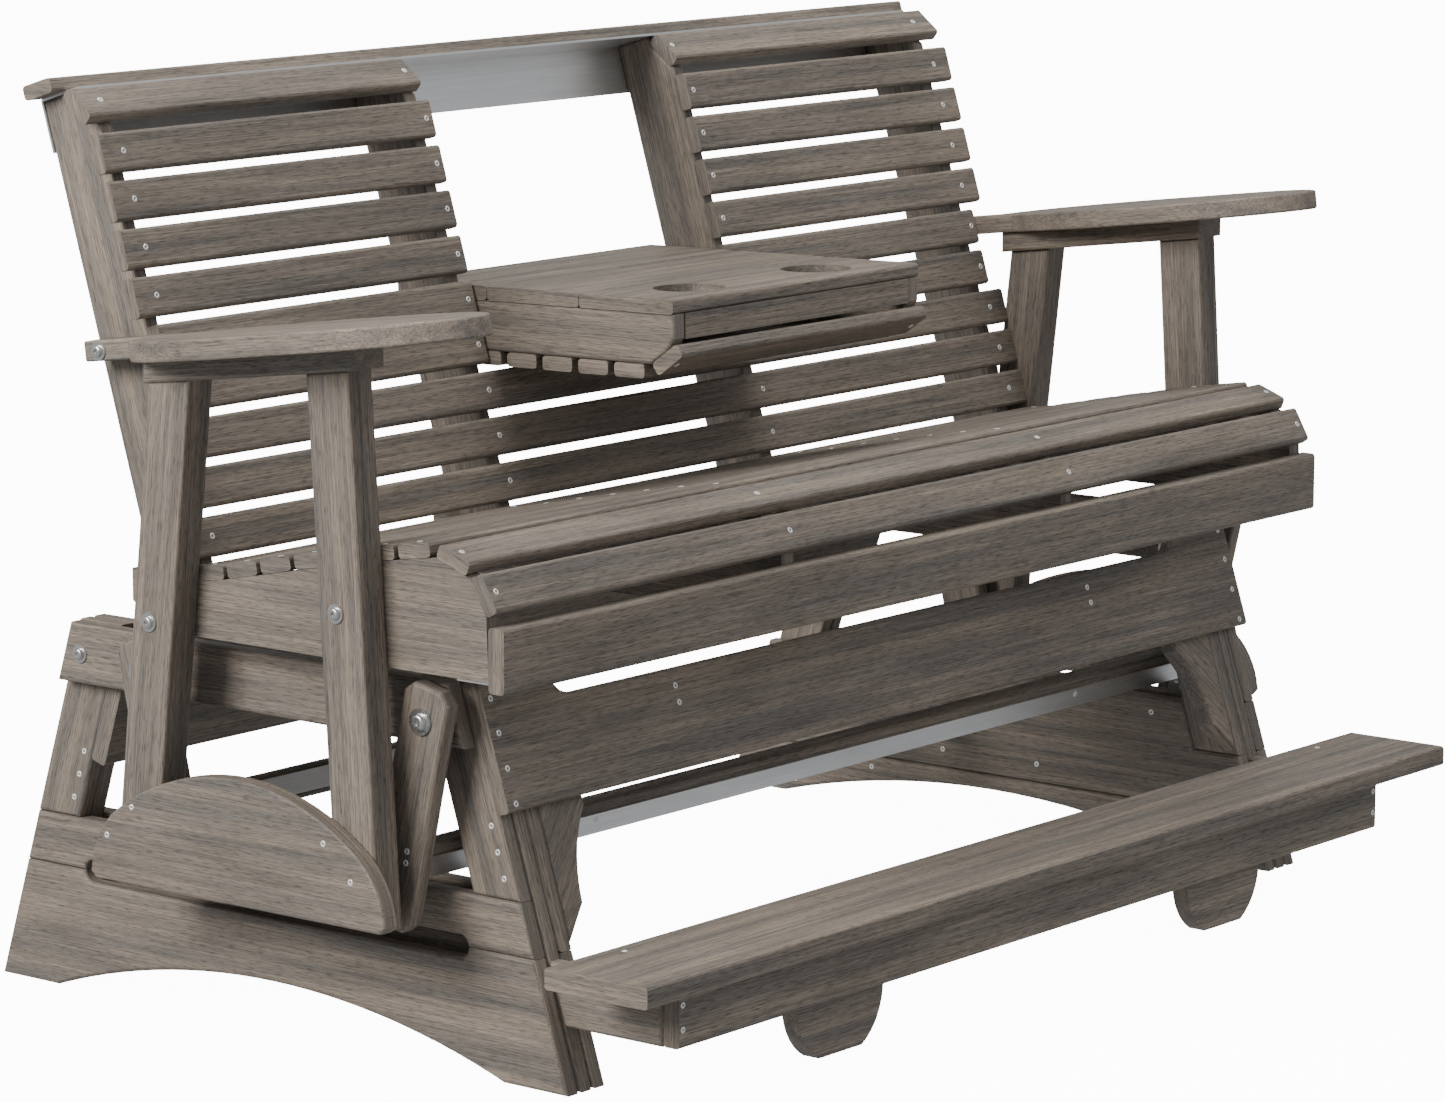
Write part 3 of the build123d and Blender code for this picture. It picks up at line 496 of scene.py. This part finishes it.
# %% Bench and console screws
# middles of the end and the middle uprights, and of the end and the middle rails
END_X, MID_X = 0.80275, 0.26635
END_RAIL_X, MID_RAIL_X = 0.826, 0.28985
# Y and Z of the four screws of a D-shaped panel
PANEL_SCREWS = ((0.188, 0.288), (0.230, 0.2485), (-0.122, 0.288), (-0.164, 0.2485))
bench = []
for side, sign in (("left", -1), ("right", 1)):
    bench += on_slats("back_slats_" + side, AHEAD, (sign * END_X, sign * MID_X))
bench += on_slats("back_slats_lower", AHEAD, (-END_X, -MID_X, MID_X, END_X))
for name, facing in (("seat_slats", OVER), ("seat_front_slat", OVER), ("seat_nose_slat", AHEAD)):
    bench += on_slats(name, facing, (-END_RAIL_X, -MID_RAIL_X, MID_RAIL_X, END_RAIL_X))
for sign in (-1, 1):
    for y, z in PANEL_SCREWS:
        bench.append(from_side("post_panels", sign, y, z))
set_screws("bench_screws", "seat", bench)

CONSOLE_X = 0.23895
set_screws("console_screws", "console",
           on_slats("console_slats", UNDER, (-CONSOLE_X, CONSOLE_X)))

# %% [markdown]
# ## Screws of the base
# The front board is screwed to the legs at its ends and to the gussets. Rows of screws
# join the layers of each leg and of each side frame, and the footrest's plank and apron are
# screwed to its arms. The two sides mirror each other, so one loop sets both.

# %% Base screws
# X of the rows at the legs, the gussets and the footrest's apron, and the place on its plank
LEG_X, GUSSET_X, APRON_X, PLANK_X, PLANK_Y = 0.750, 0.4275, 0.72975, 0.727, -0.426
# Y of the legs' screw rows at the floor, and of the middle of a side frame
FRONT_ROW, REAR_ROW, MIDDLE_Y = -0.355, 0.505, 0.096
# inner boards of a side frame, with how far ahead and behind of its middle and how high
INNER_SCREWS = (("base_inner_side_boards", 0.2734, 0.197),
                ("base_inner_side_boards", 0.0816, 0.0984),
                ("base_inner_arch_boards", 0.208, 0.056),
                ("base_inner_arch_boards", 0.346, 0.020))
base = []
for sign in (-1, 1):
    for z in (0.450, 0.411, 0.371, 0.331):
        base.append(from_front("base_front_board", sign * LEG_X, z))
    for z in (0.417, 0.3975):
        base.append(from_front("base_front_board", sign * GUSSET_X, z))
    for z in (0.304, 0.274, 0.244):
        base.append(from_side("base_front_outer_legs", sign, FRONT_ROW + LEG_LEAN * z, z))
        base.append(from_side("base_rear_outer_legs", sign, REAR_ROW - LEG_LEAN * z, z))
    for z in (0.097, 0.126):
        base.append(from_front("footrest_apron", sign * APRON_X, z))
    base.append(spot("footrest_plank", (sign * PLANK_X, PLANK_Y + SHIFT, ABOVE), (0, 0, -1)))
    for name, away, z in INNER_SCREWS:
        for y in (MIDDLE_Y - away, MIDDLE_Y + away):
            base.append(from_within(name, sign, y, z))
set_screws("base_screws", "base", base)

# %% [markdown]
# ## Screws of the hanging arms
# Two screws go through each hanging arm into the end of its stretcher, and three hold the
# aluminium strip on the front stretcher. They move with the arms, so each pair of arms has its
# own piece.

# %% Arm screws
# Y and Z of the two screws of an arm, in front and at the rear
ARM_SCREWS = {"front": ((-0.176, 0.272), (-0.174, 0.258)),
              "rear": ((0.203, 0.272), (0.205, 0.258))}
STRIP_X, STRIP_Z = (-0.497, 0.0, 0.497), 0.2545
for pair, places in ARM_SCREWS.items():
    arms = [from_side(pair + "_swing_arm_" + side, sign, y, z)
            for side, sign in (("left", -1), ("right", 1)) for y, z in places]
    if pair == "front":
        arms += [from_front("front_stretcher_strip", x, STRIP_Z) for x in STRIP_X]
    set_screws(pair + "_arm_screws", pair + "_swing", arms)

# %% [markdown]
# ## Light
# The bench stands in a white studio. The main light is large and hangs to the left and a
# little behind, and a second one hangs above, so the left faces and the tops are bright and the
# fronts stay dark. A weak, cooler light fills the fronts, and the world adds an even, faint glow.
# The floor glows white but isn't used as a light, because light from below would flatten the
# shadows under the seat.

# %% Floor
FLOOR_HALF = 30
floor_mesh = bpy.data.meshes.new("floor")
bm = bmesh.new()
bmesh.ops.create_grid(bm, x_segments=1, y_segments=1, size=FLOOR_HALF)
bm.to_mesh(floor_mesh)
bm.free()
floor = bpy.data.objects.new("floor", floor_mesh)
bpy.context.scene.collection.objects.link(floor)
white, _, shader = new_material("floor_white")
for key, value in (("Base Color", grey(0.85)), ("Roughness", 0.9),
                   ("Emission Color", grey(1.0)), ("Emission Strength", 12.0)):
    shader.inputs[key].default_value = value
floor_mesh.materials.append(white)
floor.visible_diffuse = floor.visible_glossy = False
print("floor", 2 * FLOOR_HALF, "m wide")


# %% Lights
def area(name, place, target, size, power, tint):
    """A square light of a size in metres and a power in watts that looks at its target."""
    light = bpy.data.lights.new(name, "AREA")
    light.shape, light.size, light.energy, light.color = "SQUARE", size, power, tint
    made = bpy.data.objects.new(name, light)
    made.location = place
    made.rotation_mode = "QUATERNION"
    made.rotation_quaternion = (Vector(target) - Vector(place)).to_track_quat("-Z", "Y")
    bpy.context.scene.collection.objects.link(made)


area("key", place=(-6.0, 1.2, 3.6), target=(0, 0, 0.55), size=2.6, power=490,
     tint=(1.0, 0.98, 0.955))
area("top", place=(0.2, -0.4, 6.0), target=(0, 0, 0.5), size=3.0, power=190,
     tint=(1.0, 0.985, 0.96))
area("fill", place=(0.5, -5.0, 4.4), target=(0, 0, 0.5), size=3.0, power=52,
     tint=(0.94, 0.97, 1.0))
world = bpy.data.worlds.new("studio")
bpy.context.scene.world = world
world.use_nodes = True
glow = world.node_tree.nodes["Background"]
glow.inputs["Color"].default_value = (0.96, 0.98, 1.0, 1.0)
glow.inputs["Strength"].default_value = 0.43
print(len(bpy.data.lights), "lights and the world's glow")

# %% [markdown]
# ## Camera
# A long lens stands well back, to the left and in front of the bench and above it, and looks
# slightly down across it. From so far away the boards' parallel edges stay nearly parallel.

# %% Camera
cam = bpy.data.cameras.new("camera")
cam.sensor_width, cam.lens, cam.clip_end = 36.0, 135.436, 100
camera = bpy.data.objects.new("camera", cam)
camera.location = (-5.36172, -4.31554, 1.68292)
yaw, pitch = radians(51.081), radians(-9.795)
look = Vector((sin(yaw) * cos(pitch), cos(yaw) * cos(pitch), sin(pitch)))
camera.rotation_mode = "QUATERNION"
camera.rotation_quaternion = look.to_track_quat("-Z", "Y")
bpy.context.scene.collection.objects.link(camera)
bpy.context.scene.camera = camera
print("camera at", [round(c, 3) for c in camera.location], "lens", cam.lens)
